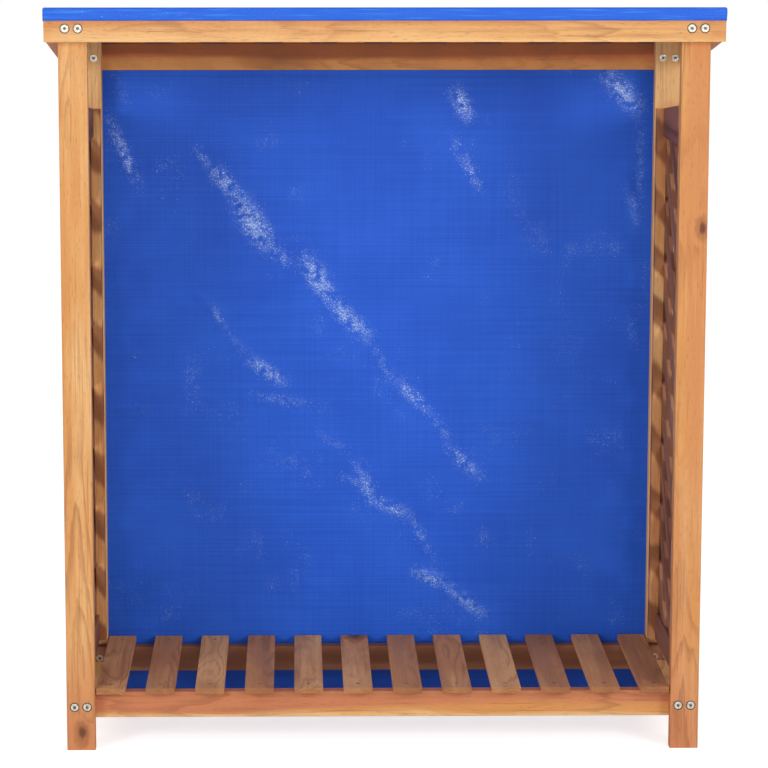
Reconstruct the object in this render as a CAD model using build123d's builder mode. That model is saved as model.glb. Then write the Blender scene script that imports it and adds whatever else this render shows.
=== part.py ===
"""A free-standing log store: four posts, a slatted shelf, a lattice in each side,
a slatted roof that falls to the back, and a cover over the roof and down the back.

+X is to the right as the open front is faced, +Y to the back, +Z up. The origin is on the
ground, in the middle of the width and depth. Lengths are in millimetres, angles in degrees.
"""

from build123d import *

import os
from math import ceil, cos, radians, sin, tan

# Whole object, over the cover
overall_width = 1050.0
overall_depth = 380.0
overall_height = 1180.0

# Posts
post_width = 45.0
post_thickness = 20.0

# Roof: four rails round the outside of the posts, and slats from front to back
roof_pitch = 9.5
roof_rail_height = 42.0
roof_rail_thickness = 20.0
roof_side_rail_height = 38.0
roof_slat_width = 45.0
roof_slat_thickness = 10.0
roof_slat_count = 12

# Shelf: two long rails inside the posts, a flat board at each side, and slats
shelf_rail_bottom = 48.0
shelf_rail_height = 42.0
shelf_rail_thickness = 20.0
side_board_thickness = 16.0
shelf_slat_width = 46.0
shelf_slat_thickness = 10.0
shelf_slat_count = 12
shelf_slat_post_gap = 1.5
shelf_slat_front_setback = 3.0
shelf_slat_rear_setback = 4.0

# Side lattices: two crossing layers of thin slats, let into two rails and two stiles
lattice_shelf_gap = 1.0
lattice_roof_gap = 63.0
lattice_top_pitch = 5.5
lattice_thickness = 20.0
lattice_rail_height = 45.0
lattice_stile_width = 20.0
lattice_stile_depth = 41.0
lattice_slat_width = 38.0
lattice_slat_thickness = 5.0
lattice_slat_angle = 45.0
lattice_step = 102.6
lattice_first_crossing = 38.0
groove_depth = 8.0
groove_side_clearance = 0.3
groove_end_clearance = 0.5

# Cover: one sheet over the roof with a lip at three edges, and one down the back
cover_thickness = 1.0
cover_clearance = 0.5
cover_lip = 20.0
cover_ground_gap = 4.0
cover_slant_height = 230.0

# Bolts with flat round heads, two at each joint of a post and a long rail
bolt_pitch = 20.0
bolt_head_radius = 6.2
bolt_head_height = 3.4
bolt_head_edge = 0.6
bolt_shank_radius = 3.0
bolt_tip_gap = 8.0
bolt_seat_radius = 7.8
bolt_seat_depth = 3.0
shelf_bolt_rise = 22.4
socket_radius = 2.6
socket_depth = 2.2

# Sleeve nuts that the bolts screw into
sleeve_radius = 4.2
sleeve_length = 18.0
sleeve_flange_radius = 6.0
sleeve_flange_height = 1.8
sleeve_end_wall = 1.5
sleeve_hole_clearance = 0.2
thread_clearance = 0.05

# Wooden dowels at the ends of the pieces that have no bolts
dowel_radius = 4.0
dowel_length = 26.0
dowel_pitch = 16.0
dowel_side_clearance = 0.1
dowel_end_clearance = 0.5

# Countersunk screws, one at each end of a slat
screw_head_radius = 3.4
screw_head_height = 2.2
screw_rim_height = 0.3
screw_shank_radius = 1.6
screw_tip_height = 4.0
screw_tip_radius = 0.3
screw_length = 27.0
screw_sink = 0.4
screw_clearance = 0.1
screw_slot_radius = 1.3
screw_slot_depth = 1.2

# Tacks that hold the cover to the rear rail and the rear posts
tack_head_radius = 5.0
tack_head_height = 1.2
tack_shank_radius = 1.2
tack_length = 14.0
tack_clearance = 0.1
rail_tack_count = 6
post_tack_count = 4

# Worn edges of the boards and slats
board_edge = 1.6
slat_edge = 1.2

# How far a cutter stands past the face that it cuts
overrun = 5.0

# Places that follow from the sizes above
fall = tan(radians(roof_pitch))
cover_stand = cover_clearance + cover_thickness
roof_front = cover_stand - overall_depth / 2
roof_back = overall_depth / 2 - cover_stand - tack_head_height
roof_side = overall_width / 2 - cover_stand
post_outer = roof_side - roof_rail_thickness
post_inner = post_outer - post_width
post_centre = post_outer - post_width / 2
front_post_face = roof_front + roof_rail_thickness
front_post_back = front_post_face + post_thickness
rear_post_back = roof_back - roof_rail_thickness
rear_post_face = rear_post_back - post_thickness
front_shelf_rail_back = front_post_back + shelf_rail_thickness
rear_shelf_rail_face = rear_post_face - shelf_rail_thickness
shelf_rail_top = shelf_rail_bottom + shelf_rail_height
shelf_bolt_height = shelf_rail_bottom + shelf_bolt_rise
side_board_middle = shelf_rail_bottom + side_board_thickness / 2
shelf_top = shelf_rail_top + shelf_slat_thickness
sides = {"left": -1, "right": 1}
upright = (0, 0, 1)
to_front = (0, -1, 0)
to_back = (0, 1, 0)
out_of_roof = (0, sin(radians(roof_pitch)), cos(radians(roof_pitch)))
slope_stack = (roof_slat_thickness + cover_stand) / cos(radians(roof_pitch))
front_bearing = overall_height - slope_stack - cover_stand * fall


def underside(y, lift=0):
    """The height at y of a plane that lies lift above the roof slats' lower faces."""
    return front_bearing - (y - roof_front) * fall + lift / cos(radians(roof_pitch))


front_rail_bottom = underside(roof_front) - roof_rail_height
rear_rail_bottom = underside(roof_back) - roof_rail_height
lattice_bottom = shelf_top + lattice_shelf_gap
lattice_top = rear_rail_bottom - lattice_roof_gap
field_front = front_post_back + lattice_stile_width
field_back = rear_post_face - lattice_stile_width
field_bottom = lattice_bottom + lattice_rail_height
field_top = lattice_top - lattice_rail_height


def lattice_high(y):
    """The height at y of the lattice frames' upper edge, which rises to the front."""
    return lattice_top + (rear_post_face - y) * tan(radians(lattice_top_pitch))


def spread(count, width, low, high):
    """The centres of count pieces of one width, evenly spread from low to high."""
    step = (high - low - width) / (count - 1)
    return [low + width / 2 + n * step for n in range(count)]


def spots(direction, places):
    """Locations at the given points, each with its own +Z along a direction."""
    return [Plane(origin=place, z_dir=direction).location for place in places]


def save(builder, name):
    """Labels a finished piece and writes its file."""
    builder.part.label = name
    export_step(builder.part, f"parts/{name}.step")


def stepped(*steps):
    """Stacks round steps (radius, low, high) along the local Z of the current places."""
    for radius, low, high in steps:
        with Locations((0, 0, low)):
            Cylinder(radius, high - low, align=(Align.CENTER, Align.CENTER, Align.MIN))


def cut_room(room, places):
    """Cuts a fastener's room out of the current piece at each of its places."""
    with Locations(*places):
        add(room.part, mode=Mode.SUBTRACT)


def slope_profile(y_low, y_high, z_low, z_high):
    """A face on the YZ plane whose lower and upper edges are heights given as functions."""
    Polygon(
        (y_low, z_low(y_low)),
        (y_high, z_low(y_high)),
        (y_high, z_high(y_high)),
        (y_low, z_high(y_low)),
        align=None,
    )


os.makedirs("parts", exist_ok=True)

# Where the bolts, dowels, screws and tacks go
roof_joint = roof_rail_thickness + post_thickness
shelf_joint = shelf_rail_thickness + post_thickness
front_rail_middle = front_rail_bottom + roof_rail_height / 2
rear_rail_middle = rear_rail_bottom + roof_rail_height / 2
pair_x = [
    side * post_centre + offset
    for side in sides.values()
    for offset in (-bolt_pitch / 2, bolt_pitch / 2)
]
bolt_rows = {
    "top_front_bolts": (roof_front, front_rail_middle, to_front, roof_joint),
    "top_rear_bolts": (roof_back, rear_rail_middle, to_back, roof_joint),
    "bottom_front_bolts": (front_post_face, shelf_bolt_height, to_front, shelf_joint),
    "bottom_rear_bolts": (rear_post_back, shelf_bolt_height, to_back, shelf_joint),
}
bolt_spots = {
    name: spots(direction, [(x, y, z) for x in pair_x])
    for name, (y, z, direction, joint) in bolt_rows.items()
}

side_rail_x = roof_side - roof_rail_thickness / 2
side_board_ends = (front_shelf_rail_back, rear_shelf_rail_face)
lattice_ends = (front_post_back, rear_post_face)
roof_rail_ends = (front_post_face, rear_post_back)
lattice_rail_ends = (field_front, field_back)
lattice_rail_middles = (
    lattice_bottom + lattice_rail_height / 2,
    lattice_top - lattice_rail_height / 2,
)
dowel_places = {
    name: [
        (side * post_centre + offset, y, side_board_middle)
        for y in side_board_ends
        for offset in (-dowel_pitch / 2, dowel_pitch / 2)
    ]
    + [
        (side * post_centre + offset, y, z)
        for y in lattice_ends
        for z in lattice_rail_middles
        for offset in (-dowel_pitch / 2, dowel_pitch / 2)
    ]
    + [
        (side * post_centre, y, z + offset)
        for y in lattice_rail_ends
        for z in lattice_rail_middles
        for offset in (-dowel_pitch / 2, dowel_pitch / 2)
    ]
    + [
        (side * side_rail_x, y, underside(y) - roof_side_rail_height / 2 + offset)
        for y in roof_rail_ends
        for offset in (-dowel_pitch / 2, dowel_pitch / 2)
    ]
    for name, side in sides.items()
}
dowel_spots = [spot for places in dowel_places.values() for spot in spots(to_back, places)]

shelf_slat_x = spread(
    shelf_slat_count,
    shelf_slat_width,
    shelf_slat_post_gap - post_inner,
    post_inner - shelf_slat_post_gap,
)
shelf_screw_y = (
    front_post_back + shelf_rail_thickness / 2,
    rear_post_face - shelf_rail_thickness / 2,
)
shelf_screw_spots = spots(
    upright, [(x, y, shelf_top - screw_sink) for x in shelf_slat_x for y in shelf_screw_y]
)

roof_slat_x = spread(roof_slat_count, roof_slat_width, -roof_side, roof_side)
roof_screw_y = (
    roof_front + roof_rail_thickness / 2,
    roof_back - roof_rail_thickness / 2,
)
roof_screw_spots = spots(
    out_of_roof,
    [
        (x, y, underside(y, roof_slat_thickness - screw_sink))
        for x in roof_slat_x
        for y in roof_screw_y
    ],
)

tack_reach = roof_side - tack_head_radius
rail_tack_spots = spots(
    to_back,
    [
        (x, roof_back + cover_stand, rear_rail_bottom + roof_rail_height / 4)
        for x in spread(rail_tack_count, tack_head_radius, -tack_reach, tack_reach)
    ],
)
tack_low = lattice_bottom
tack_high = rear_rail_bottom - cover_slant_height - 2 * tack_head_radius
post_tack_spots = spots(
    to_back,
    [
        (side * post_centre, rear_post_back + cover_stand, z)
        for side in sides.values()
        for z in spread(post_tack_count, tack_head_radius, tack_low, tack_high)
    ],
)

# Room for each fastener, cut out of the pieces that it joins
hole_radius = sleeve_radius + sleeve_hole_clearance
bolt_rooms = {}
for name, (y, z, direction, joint) in bolt_rows.items():
    with BuildPart() as bolt_room:
        stepped(
            (bolt_seat_radius, -bolt_seat_depth, overrun),
            (hole_radius, -joint - overrun, -bolt_seat_depth),
        )
    bolt_rooms[name] = bolt_room

dowel_room_half = dowel_length / 2 + dowel_end_clearance
with BuildPart() as dowel_room:
    stepped((dowel_radius + dowel_side_clearance, -dowel_room_half, dowel_room_half))


def screw_profile(clearance, top):
    """Half of a screw's outline on the XZ plane, with its head's face at the local origin."""
    Polygon(
        (0, top),
        (screw_head_radius + clearance, top),
        (screw_head_radius + clearance, -screw_rim_height),
        (screw_shank_radius + clearance, -screw_head_height),
        (screw_shank_radius + clearance, screw_tip_height - screw_length),
        (screw_tip_radius + clearance, -screw_length - clearance),
        (0, -screw_length - clearance),
        align=None,
    )


with BuildPart() as screw_room:
    with BuildSketch(Plane.XZ):
        screw_profile(screw_clearance, screw_sink + overrun)
    revolve(axis=Axis.Z)

with BuildPart() as tack_room:
    stepped((tack_shank_radius + tack_clearance, -tack_length - tack_clearance, overrun))

# Posts, their tops cut to the roof's slope
post_ends = {
    "front": (front_post_face, front_post_back),
    "rear": (rear_post_face, rear_post_back),
}
for place, (y_low, y_high) in post_ends.items():
    for name, side in sides.items():
        with BuildPart() as post:
            with BuildSketch(Plane.YZ.offset(side * post_centre)):
                slope_profile(y_low, y_high, lambda y: 0, underside)
            extrude(amount=post_width / 2, both=True)
            fillet(post.edges().filter_by(Axis.Z), board_edge)
            for row in (f"top_{place}_bolts", f"bottom_{place}_bolts"):
                cut_room(bolt_rooms[row], bolt_spots[row])
            cut_room(dowel_room, spots(to_back, dowel_places[name]))
            if place == "rear":
                cut_room(tack_room, post_tack_spots)
        save(post, f"{place}_post_{name}")

# Long roof rails, outside the posts
roof_rails = {
    "front": (roof_front, front_post_face, front_rail_bottom),
    "rear": (rear_post_back, roof_back, rear_rail_bottom),
}
for place, (y_low, y_high, bottom) in roof_rails.items():
    with BuildPart() as roof_rail:
        with BuildSketch(Plane.YZ):
            slope_profile(y_low, y_high, lambda y: bottom, underside)
        extrude(amount=roof_side, both=True)
        fillet(roof_rail.edges().filter_by(Axis.X), board_edge)
        cut_room(bolt_rooms[f"top_{place}_bolts"], bolt_spots[f"top_{place}_bolts"])
        cut_room(dowel_room, dowel_spots)
        cut_room(screw_room, roof_screw_spots)
        if place == "rear":
            cut_room(tack_room, rail_tack_spots)
    save(roof_rail, f"top_{place}_rail")

# Sloping roof rails, outside the posts and between the long ones
for name, side in sides.items():
    with BuildPart() as side_rail:
        with BuildSketch(Plane.YZ.offset(side * side_rail_x)):
            slope_profile(
                front_post_face,
                rear_post_back,
                lambda y: underside(y) - roof_side_rail_height,
                underside,
            )
        extrude(amount=roof_rail_thickness / 2, both=True)
        slope_edges = side_rail.edges().group_by(SortBy.LENGTH)[-1]
        fillet(slope_edges, board_edge)
        cut_room(dowel_room, spots(to_back, dowel_places[name]))
    save(side_rail, f"roof_side_rail_{name}")

# Roof slats, square to the slope
for n, x in enumerate(roof_slat_x):
    with BuildPart() as roof_slat:
        with BuildSketch(Plane.YZ.offset(x)):
            slope_profile(
                roof_front, roof_back, underside, lambda y: underside(y, roof_slat_thickness)
            )
        extrude(amount=roof_slat_width / 2, both=True)
        fillet(roof_slat.edges().group_by(SortBy.LENGTH)[-1], slat_edge)
        cut_room(screw_room, roof_screw_spots)
    save(roof_slat, f"roof_slat_{n + 1:02d}")

# Long shelf rails, inside the posts
shelf_rails = {
    "front": (front_post_back, front_shelf_rail_back),
    "rear": (rear_shelf_rail_face, rear_post_face),
}
for place, (y_low, y_high) in shelf_rails.items():
    with BuildPart() as shelf_rail:
        with BuildSketch(Plane.YZ):
            with Locations(((y_low + y_high) / 2, shelf_rail_bottom)):
                Rectangle(y_high - y_low, shelf_rail_height, align=(Align.CENTER, Align.MIN))
        extrude(amount=post_outer, both=True)
        fillet(shelf_rail.edges().filter_by(Axis.X), board_edge)
        cut_room(bolt_rooms[f"bottom_{place}_bolts"], bolt_spots[f"bottom_{place}_bolts"])
        cut_room(dowel_room, dowel_spots)
        cut_room(screw_room, shelf_screw_spots)
    save(shelf_rail, f"bottom_{place}_rail")

# Flat boards between the shelf rails, one at each side
for name, side in sides.items():
    with BuildPart() as side_board:
        with BuildSketch(Plane.XY.offset(shelf_rail_bottom)):
            with Locations((side * post_centre, (front_shelf_rail_back + rear_shelf_rail_face) / 2)):
                Rectangle(post_width, rear_shelf_rail_face - front_shelf_rail_back)
        extrude(amount=side_board_thickness)
        fillet(side_board.edges().filter_by(Axis.Y), board_edge)
        cut_room(dowel_room, spots(to_back, dowel_places[name]))
    save(side_board, f"bottom_side_rail_{name}")

# Shelf slats
slat_front = front_post_face + shelf_slat_front_setback
slat_back = rear_post_back - shelf_slat_rear_setback
for n, x in enumerate(shelf_slat_x):
    with BuildPart() as shelf_slat:
        with BuildSketch(Plane.XY.offset(shelf_rail_top)):
            with Locations((x, (slat_front + slat_back) / 2)):
                Rectangle(shelf_slat_width, slat_back - slat_front)
        extrude(amount=shelf_slat_thickness)
        fillet(shelf_slat.edges(), slat_edge)
        cut_room(screw_room, shelf_screw_spots)
    save(shelf_slat, f"shelf_slat_{n + 1:02d}")

# Lattice frames, each with a groove round its inner edges
groove_width = 2 * (lattice_slat_thickness + groove_side_clearance)
field_length = field_back - field_front
field_height = field_top - field_bottom
field_middle_y = (field_front + field_back) / 2
field_middle_z = (field_bottom + field_top) / 2
lattice_rails = {
    "bottom": (lattice_bottom, field_bottom, field_bottom),
    "top": (field_top, lattice_high(field_front), lattice_high(field_back)),
}
lattice_stiles = {
    "front": (front_post_back, field_front),
    "rear": (field_back, rear_post_face),
}


def cut_grooves(side):
    """Cuts the grooves that hold one lattice's slats out of a frame piece."""
    with Locations((side * post_centre, field_middle_y, field_middle_z)):
        Box(
            groove_width,
            field_length + 2 * groove_depth,
            field_height + 2 * groove_depth,
            mode=Mode.SUBTRACT,
        )


for name, side in sides.items():
    for place, (z_low, front_high, back_high) in lattice_rails.items():
        with BuildPart() as lattice_rail:
            with BuildSketch(Plane.YZ.offset(side * post_centre - lattice_thickness / 2)):
                Polygon(
                    (field_front, z_low),
                    (field_back, z_low),
                    (field_back, back_high),
                    (field_front, front_high),
                    align=None,
                )
            extrude(amount=lattice_thickness)
            side_edges = lattice_rail.edges().filter_by(Axis.X, reverse=True)
            fillet(side_edges.filter_by(Axis.Z, reverse=True), board_edge)
            cut_grooves(side)
            cut_room(dowel_room, spots(to_back, dowel_places[name]))
        save(lattice_rail, f"lattice_{place}_rail_{name}")
    for place, (y_low, y_high) in lattice_stiles.items():
        with BuildPart() as lattice_stile:
            with BuildSketch(Plane.YZ.offset(side * post_centre - lattice_stile_depth / 2)):
                Polygon(
                    (y_low, lattice_bottom),
                    (y_high, lattice_bottom),
                    (y_high, lattice_high(y_high)),
                    (y_low, lattice_high(y_low)),
                    align=None,
                )
            extrude(amount=lattice_stile_depth)
            fillet(lattice_stile.edges().filter_by(Axis.Z), board_edge)
            cut_grooves(side)
            cut_room(dowel_room, spots(to_back, dowel_places[name]))
        save(lattice_stile, f"lattice_{place}_stile_{name}")

# Lattice slats: one slanting layer against the other, cut to the grooves' outline. Both
# panels are made alike, so the inner layer leans to the back on one side only
reach_y = field_length / 2 + groove_depth - groove_end_clearance
reach_z = field_height / 2 + groove_depth - groove_end_clearance
lean = tan(radians(lattice_slat_angle))
slat_count = ceil((reach_z + reach_y * lean) / lattice_step)
slat_half_rise = lattice_slat_width / 2 / cos(radians(lattice_slat_angle))
crossings = [
    lattice_first_crossing + n * lattice_step
    for n in range(-slat_count, slat_count + 1)
    if abs(lattice_first_crossing + n * lattice_step) < reach_z + reach_y * lean - slat_half_rise
]
lattice_layers = {"inner": -1, "outer": 1}
for name, side in sides.items():
    for layer, turn in lattice_layers.items():
        layer_x = side * (post_centre + turn * lattice_slat_thickness / 2)
        with BuildPart() as lattice_slats:
            with BuildSketch(Plane.YZ.offset(layer_x - lattice_slat_thickness / 2)):
                with Locations((field_middle_y, field_middle_z)):
                    with Locations(*[(0, z) for z in crossings]):
                        Rectangle(
                            2 * (reach_y + lattice_slat_width) / cos(radians(lattice_slat_angle)),
                            lattice_slat_width,
                            rotation=-side * turn * lattice_slat_angle,
                        )
                    Rectangle(2 * reach_y, 2 * reach_z, mode=Mode.INTERSECT)
            extrude(amount=lattice_slat_thickness)
        save(lattice_slats, f"lattice_{layer}_slats_{name}")

# Cover over the roof, with a lip down its front and sides
cover_high = roof_slat_thickness + cover_stand
with BuildPart() as rain_cover_top:
    with BuildSketch(Plane.YZ):
        slope_profile(
            roof_front - cover_stand,
            roof_back + cover_stand,
            lambda y: underside(y, cover_high) - cover_lip,
            lambda y: underside(y, cover_high),
        )
    extrude(amount=roof_side + cover_stand, both=True)
    with BuildSketch(Plane.YZ):
        slope_profile(
            roof_front - cover_clearance,
            roof_back + cover_stand + cover_thickness,
            lambda y: underside(y) - cover_lip - cover_thickness,
            lambda y: underside(y, roof_slat_thickness + cover_clearance),
        )
    extrude(amount=roof_side + cover_clearance, both=True, mode=Mode.SUBTRACT)
save(rain_cover_top, "rain_cover_top")

# Cover down the back: over the rear roof rail, in to the posts, and down to the ground
at_rail = roof_back + cover_clearance
at_post = rear_post_back + cover_clearance
cover_eaves = roof_slat_thickness + cover_clearance
slant_bottom = rear_rail_bottom - cover_slant_height
with BuildPart() as rain_cover_back:
    with BuildSketch(Plane.YZ):
        Polygon(
            (at_rail, underside(at_rail, cover_eaves)),
            (at_rail, rear_rail_bottom),
            (at_post, slant_bottom),
            (at_post, cover_ground_gap),
            (at_post + cover_thickness, cover_ground_gap),
            (at_post + cover_thickness, slant_bottom),
            (at_rail + cover_thickness, rear_rail_bottom),
            (at_rail + cover_thickness, underside(at_rail + cover_thickness, cover_eaves)),
            align=None,
        )
    extrude(amount=roof_side + cover_clearance, both=True)
    cut_room(tack_room, rail_tack_spots + post_tack_spots)
save(rain_cover_back, "rain_cover_back")

# Bolts, each with a six-sided socket in its head
for name, (y, z, direction, joint) in bolt_rows.items():
    shank_end = bolt_tip_gap - joint
    with BuildPart() as bolt:
        stepped(
            (bolt_head_radius, -bolt_seat_depth, bolt_head_height - bolt_seat_depth),
            (bolt_shank_radius, shank_end, -bolt_seat_depth),
        )
        head_rim = bolt.edges().filter_by(GeomType.CIRCLE).sort_by(Axis.Z)[-1]
        fillet(head_rim, bolt_head_edge)
        with BuildSketch(Plane.XY.offset(bolt_head_height - bolt_seat_depth)):
            RegularPolygon(socket_radius, 6)
        extrude(amount=-socket_depth, mode=Mode.SUBTRACT)
    with BuildPart() as bolts:
        with Locations(*bolt_spots[name]):
            add(bolt.part)
    save(bolts, name)

# Sleeve nuts, each flange against the far face of its joint
with BuildPart() as nut:
    stepped(
        (sleeve_flange_radius, -sleeve_flange_height, 0),
        (sleeve_radius, 0, sleeve_length),
    )
    socket_floor = socket_depth - sleeve_flange_height
    bore_start = socket_floor + sleeve_end_wall
    with Locations((0, 0, bore_start)):
        Cylinder(
            bolt_shank_radius + thread_clearance,
            sleeve_length - bore_start,
            align=(Align.CENTER, Align.CENTER, Align.MIN),
            mode=Mode.SUBTRACT,
        )
    with BuildSketch(Plane.XY.offset(-sleeve_flange_height)):
        RegularPolygon(socket_radius, 6)
    extrude(amount=socket_depth, mode=Mode.SUBTRACT)
nut_spots = [
    spot
    for name, (y, z, direction, joint) in bolt_rows.items()
    for spot in spots(direction, [(x, y - direction[1] * joint, z) for x in pair_x])
]
with BuildPart() as sleeve_nuts:
    with Locations(*nut_spots):
        add(nut.part)
save(sleeve_nuts, "sleeve_nuts")

# Dowels
with BuildPart() as dowel:
    stepped((dowel_radius, -dowel_length / 2, dowel_length / 2))
with BuildPart() as dowels:
    with Locations(*dowel_spots):
        add(dowel.part)
save(dowels, "dowels")

# Screws, each with a small round recess in its head
with BuildPart() as screw:
    with BuildSketch(Plane.XZ):
        screw_profile(0, 0)
    revolve(axis=Axis.Z)
    with BuildSketch(Plane.XY):
        RegularPolygon(screw_slot_radius, 4)
    extrude(amount=-screw_slot_depth, mode=Mode.SUBTRACT)
for name, places in {"shelf_screws": shelf_screw_spots, "roof_screws": roof_screw_spots}.items():
    with BuildPart() as screws:
        with Locations(*places):
            add(screw.part)
    save(screws, name)

# Tacks
with BuildPart() as tack:
    stepped(
        (tack_head_radius, 0, tack_head_height),
        (tack_shank_radius, -tack_length, 0),
    )
with BuildPart() as cover_tacks:
    with Locations(*rail_tack_spots, *post_tack_spots):
        add(tack.part)
save(cover_tacks, "cover_tacks")
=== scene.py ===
"""Dresses the log store: oiled boards, zinc hardware and a blue woven cover, on a white stage.

Lengths are in metres, in the frame's own axes: +X right, +Y to the back, +Z up.
"""

import math
from itertools import product

import bmesh
import bpy
import numpy as np
from bpy.props import FloatProperty, FloatVectorProperty, PointerProperty
from mathutils import Matrix, Vector


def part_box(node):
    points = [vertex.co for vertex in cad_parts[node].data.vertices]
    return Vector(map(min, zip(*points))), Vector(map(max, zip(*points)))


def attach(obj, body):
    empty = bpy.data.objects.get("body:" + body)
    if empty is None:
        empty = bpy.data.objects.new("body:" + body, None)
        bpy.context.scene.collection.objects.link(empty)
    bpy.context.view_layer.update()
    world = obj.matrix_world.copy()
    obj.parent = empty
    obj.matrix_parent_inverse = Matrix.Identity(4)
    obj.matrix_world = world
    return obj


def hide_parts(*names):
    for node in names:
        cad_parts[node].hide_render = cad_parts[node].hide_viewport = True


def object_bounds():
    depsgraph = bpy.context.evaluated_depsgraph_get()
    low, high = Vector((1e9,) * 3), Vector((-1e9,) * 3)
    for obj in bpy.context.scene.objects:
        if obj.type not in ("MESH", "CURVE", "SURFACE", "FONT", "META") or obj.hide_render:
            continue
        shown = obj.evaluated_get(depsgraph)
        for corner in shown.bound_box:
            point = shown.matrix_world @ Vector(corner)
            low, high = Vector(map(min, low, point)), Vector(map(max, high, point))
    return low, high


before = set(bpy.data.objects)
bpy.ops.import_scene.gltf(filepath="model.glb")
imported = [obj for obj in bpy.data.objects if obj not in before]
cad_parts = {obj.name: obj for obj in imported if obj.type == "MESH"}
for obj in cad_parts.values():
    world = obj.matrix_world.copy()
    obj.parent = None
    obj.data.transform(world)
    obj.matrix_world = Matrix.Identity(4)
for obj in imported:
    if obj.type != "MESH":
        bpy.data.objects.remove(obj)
CAD_LOW, CAD_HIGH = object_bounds()

bl_info = {
    "name": "Log store",
    "version": (1, 0, 0),
    "blender": (4, 5, 0),
    "location": "3D View > Sidebar > Log store",
    "description": "Finishes for a slatted log store with a woven cover",
    "category": "Object",
}

BODY = "root"
MM = 0.001


def number(name, description, default, **options):
    """A number that a user can change."""
    return FloatProperty(name=name, description=description, default=default, **options)


def length(name, description, default):
    """A length that a user can change."""
    return number(name, description, default, subtype="DISTANCE", unit="LENGTH")


def numbers(name, description, default, **options):
    """Some numbers that a user can change, such as a place."""
    return FloatVectorProperty(
        name=name, description=description, size=len(default), default=default, **options
    )


def tint(name, description, default):
    """A colour that a user can change."""
    return numbers(name, description, default, subtype="COLOR", min=0, max=1)


class BoardSettings(bpy.types.PropertyGroup):
    """Colours and grain of the oiled boards."""

    gold: tint("Gold", "Palest heartwood", (0.86, 0.515, 0.225))
    amber: tint("Amber", "Middle tone of the frame", (0.68, 0.30, 0.095))
    rose: tint("Rose", "Pinkish streaks", (0.60, 0.22, 0.10))
    rust: tint("Rust", "Redder wood of the rear rail", (0.66, 0.20, 0.075))
    umber: tint("Umber", "Dark lines between growth rings", (0.25, 0.085, 0.036))
    knot: tint("Knot", "Heart of a knot", (0.13, 0.045, 0.028))
    slat_light: tint("Slat light", "Palest tone of the slats", (0.84, 0.45, 0.20))
    slat_mid: tint("Slat middle", "Middle tone of the slats", (0.60, 0.265, 0.11))
    slat_grey: tint("Slat grey", "Greyed streaks of the slats", (0.42, 0.20, 0.11))
    lattice_light: tint("Lattice light", "Palest tone of the lattices", (0.52, 0.27, 0.15))
    lattice_mid: tint("Lattice middle", "Middle tone of the lattices", (0.37, 0.155, 0.082))
    lattice_dark: tint("Lattice dark", "Brown streaks of the lattices", (0.15, 0.055, 0.035))
    ring_step: length("Ring step", "Distance between growth rings", 8 * MM)
    slat_ring_step: length("Slat ring step", "Distance between rings in slats", 6.5 * MM)
    relief: length("Relief", "Depth of the open grain", 0.25 * MM)


class CoverSettings(bpy.types.PropertyGroup):
    """Colours, weave and creases of the woven cover."""

    blue: tint("Blue", "Cover's main colour", (0.018, 0.120, 0.70))
    deep: tint("Deep blue", "Tapes that lie in shade", (0.011, 0.090, 0.59))
    lip: tint("Lip blue", "Brighter blue of the lip", (0.018, 0.130, 0.68))
    tape: length("Tape", "Width of one woven tape", 2.6 * MM)
    step: length("Mesh step", "Distance between points of the sheets", 5 * MM)
    wall: length("Thickness", "Thickness of the sheet with its coating", 0.4 * MM)
    crease: length("Crease height", "Height of the largest creases", 2.0 * MM)
    sag: length("Sag", "Drop of the sheet between two roof slats", 1.6 * MM)


class HardwareSettings(bpy.types.PropertyGroup):
    """Colours of the plated hardware, and sizes of its small parts."""

    zinc: tint("Zinc", "Plated steel", (0.60, 0.55, 0.47))
    dull: tint("Dull zinc", "Worn or oiled plating", (0.34, 0.30, 0.25))
    pin_radius: length("Pin radius", "Radius of a lattice pin's head", 1.5 * MM)
    washer: length("Washer", "Thickness of the ring under a bolt's head", 0.6 * MM)


class StageSettings(bpy.types.PropertyGroup):
    """Camera, lamps and backdrop."""

    lens: number("Lens", "Focal length in millimetres", 131.2, unit="CAMERA")
    eye: numbers("Eye", "Camera's place", (-0.138, -4.4925, 1.3297), subtype="XYZ", unit="LENGTH")
    pitch: number("Pitch", "Downward tilt of the camera", math.radians(8.116), subtype="ANGLE")
    yaw: number("Yaw", "Turn of the camera to the right", math.radians(0.714), subtype="ANGLE")
    shift: numbers("Shift", "Lens shift to the right and up", (0.070, -0.10))
    key_power: number("Key power", "Power of each side softbox", 47.0, unit="POWER")
    fill_power: number("Fill power", "Power of the front softbox", 32.0, unit="POWER")
    sky: number("Sky", "Strength of the even light", 0.50)
    glow: number("Glow", "Light that the white floor adds", 0.64)


def settings(group):
    """One group of the scene's settings, by name."""
    return getattr(bpy.context.scene, f"log_store_{group}")


def add_object(name, data):
    """A new object in the scene."""
    made = bpy.data.objects.new(name, data)
    bpy.context.scene.collection.objects.link(made)
    return made


# Node tools

VECTOR, FLOAT, COLOUR = "NodeSocketVector", "NodeSocketFloat", "NodeSocketColor"
GEOMETRY, WHOLE = "NodeSocketGeometry", "NodeSocketInt"
ZERO, WHITE = (0, 0, 0), (1, 1, 1, 1)


def feed(node, inputs):
    """Sets each input of a node, or links it to a value, a socket or the first output of a node."""
    for name, value in inputs.items():
        if isinstance(value, Value):
            value = value.socket
        elif isinstance(value, bpy.types.Node):
            value = value.outputs[0]
        if isinstance(value, bpy.types.NodeSocket):
            node.id_data.links.new(value, node.inputs[name])
        else:
            node.inputs[name].default_value = value


def put(tree, kind, inputs=None, **options):
    """Adds a node, sets its options and feeds its inputs."""
    node = tree.nodes.new(kind)
    for name, option in options.items():
        setattr(node, name, option)
    feed(node, inputs or {})
    return node


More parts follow.
